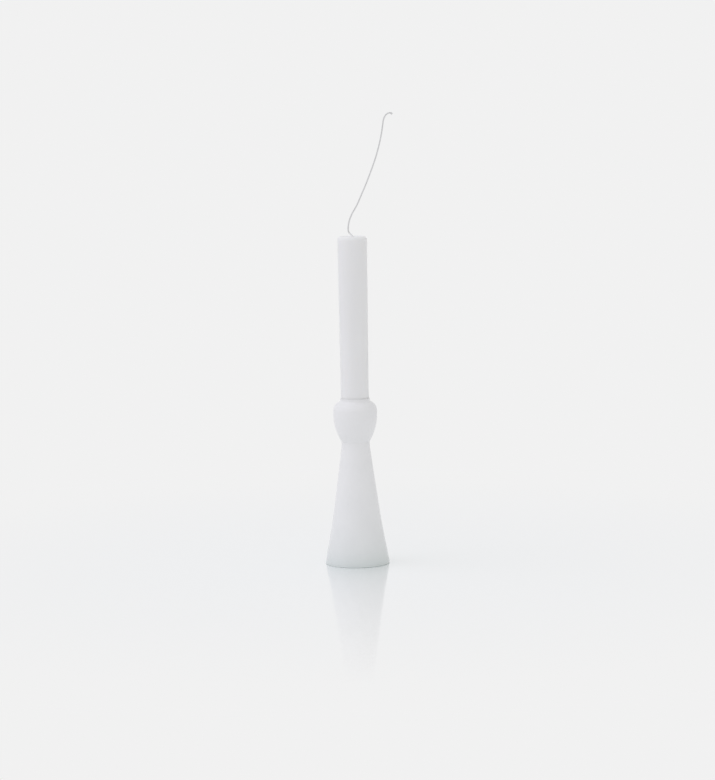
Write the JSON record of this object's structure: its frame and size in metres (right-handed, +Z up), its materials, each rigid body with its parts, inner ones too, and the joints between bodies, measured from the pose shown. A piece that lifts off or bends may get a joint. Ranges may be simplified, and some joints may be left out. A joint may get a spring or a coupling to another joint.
{
  "type": "candlestick",
  "caption": "White lacquered turned candlestick with a flared conical foot and a bud-shaped cup, holding a lift-out wax candle with a long uncut wick.",
  "frame": {"origin": "centre of the felt pad's underside, on the surface that the candlestick stands on", "axes": "+Z up along the turning axis, towards the wick; the wick's tip leans towards +X"},
  "size_m": [0.0573, 0.0496, 0.347],
  "materials": {
    "white_lacquer": "satin opaque white lacquer on turned wood",
    "beech": "raw fluted beech",
    "ballast_steel": "sawn and turned mild steel",
    "felt": "pressed off-white felt",
    "liner_metal": "drawn aluminium sheet, satin",
    "candle_wax": "white candle wax, soft satin",
    "wick_cotton": "braided cotton, lightly waxed"
  },
  "bodies": {
    "stick": {"foot": "white_lacquer", "cup": "white_lacquer", "dowel": "beech", "ballast": "ballast_steel", "felt_pad": "felt"},
    "liner": {"socket_liner": "liner_metal"},
    "candle": {"candle": "candle_wax", "wick_core": "wick_cotton", "wick_tail": "wick_cotton"}
  },
  "joints": [
    {"name": "candle_turn", "type": "hinge", "parent": "stick", "child": "liner", "pos_m": [0, 0, 0.11], "axis": [0, 0, 1], "continuous": true},
    {"name": "candle_lift", "type": "slide", "parent": "liner", "child": "candle", "axis": [0, 0, 1], "range_m": [0, 0.032]}
  ]
}
